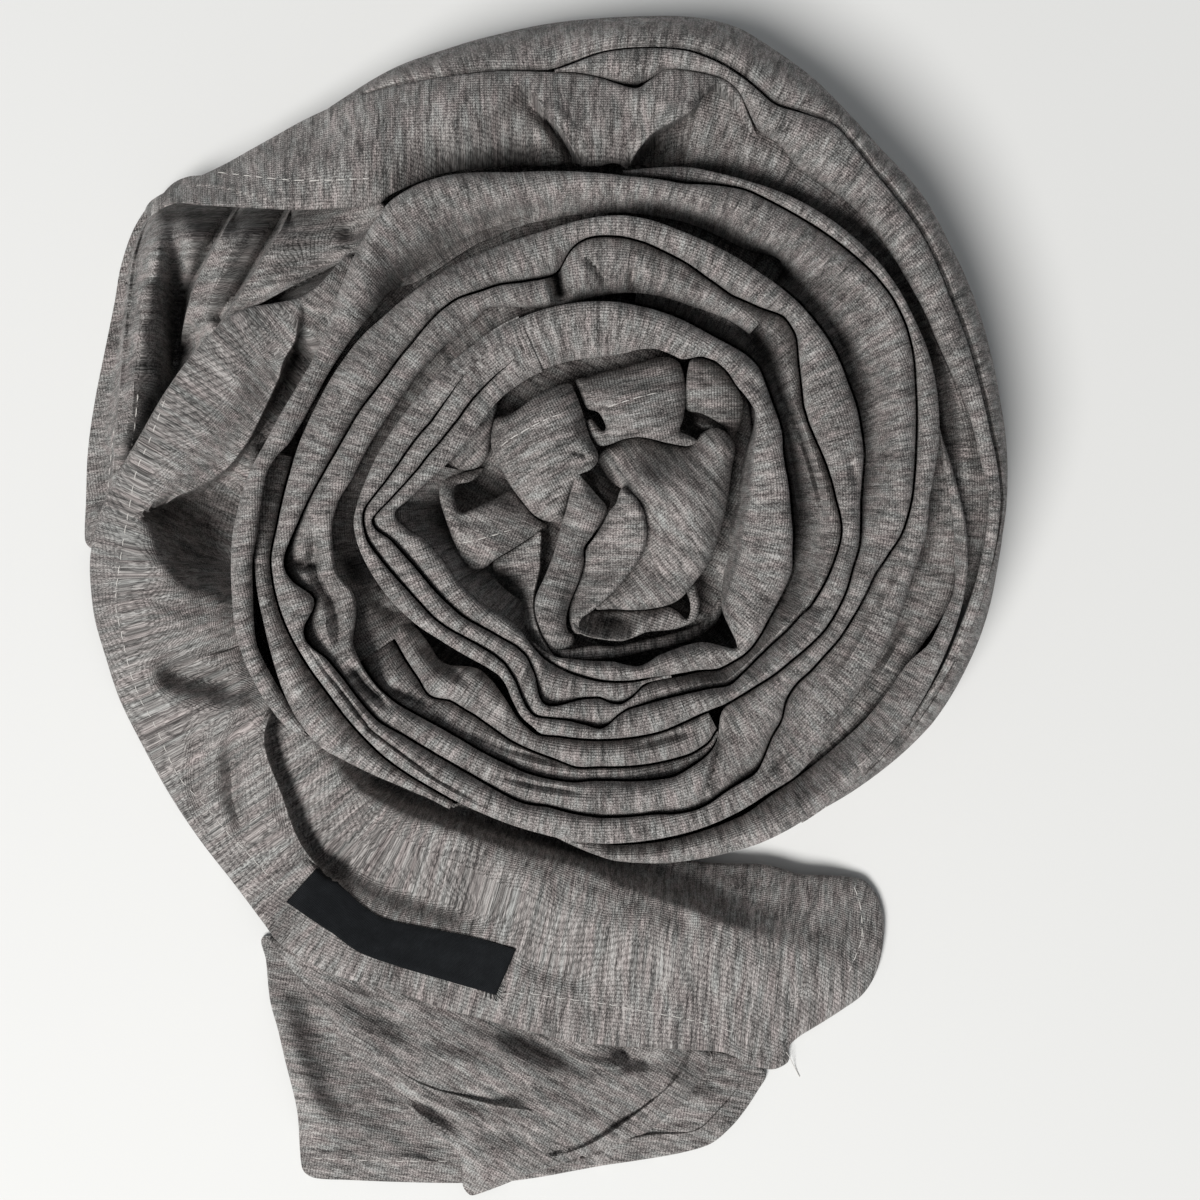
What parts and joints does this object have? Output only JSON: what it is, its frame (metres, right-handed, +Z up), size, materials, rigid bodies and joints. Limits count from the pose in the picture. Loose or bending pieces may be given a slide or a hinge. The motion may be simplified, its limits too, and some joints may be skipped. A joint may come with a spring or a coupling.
{
  "type": "jersey hijab",
  "caption": "Heather grey jersey hijab wound flat into a loose rosette on a surface, its hemmed free end with a bare woven label laid round the front.",
  "frame": {"origin": "on the surface the roll rests on, under the roll's middle", "axes": "+Z up out of the roll, -Y towards the free end laid in front, +X to the right of the roll as seen from that front"},
  "size_m": [0.2421, 0.3088, 0.062],
  "materials": {
    "jersey": "matt heather grey single jersey",
    "label_weave": "matt black woven label"
  },
  "bodies": {
    "root": {"inner_layers": "jersey", "label": "label_weave", "lobe_large": "jersey", "outer_wrap": "jersey", "petal_left": "jersey", "petal_right": "jersey", "petal_top": "jersey", "side_left": "jersey", "strip_down": "jersey", "strip_left": "jersey", "tail_lobe": "jersey", "tail_lower": "jersey", "tail_upper": "jersey", "top_flap": "jersey", "tuck": "jersey", "turn_1": "jersey", "turn_2_inner": "jersey", "turn_2_middle": "jersey", "turn_2_outer": "jersey", "turn_3": "jersey", "turn_3_low": "jersey", "turn_3_lower": "jersey", "turn_4_low": "jersey", "turn_5": "jersey", "turn_5_low": "jersey", "turn_6": "jersey", "valley": "jersey"}
  },
  "joints": []
}
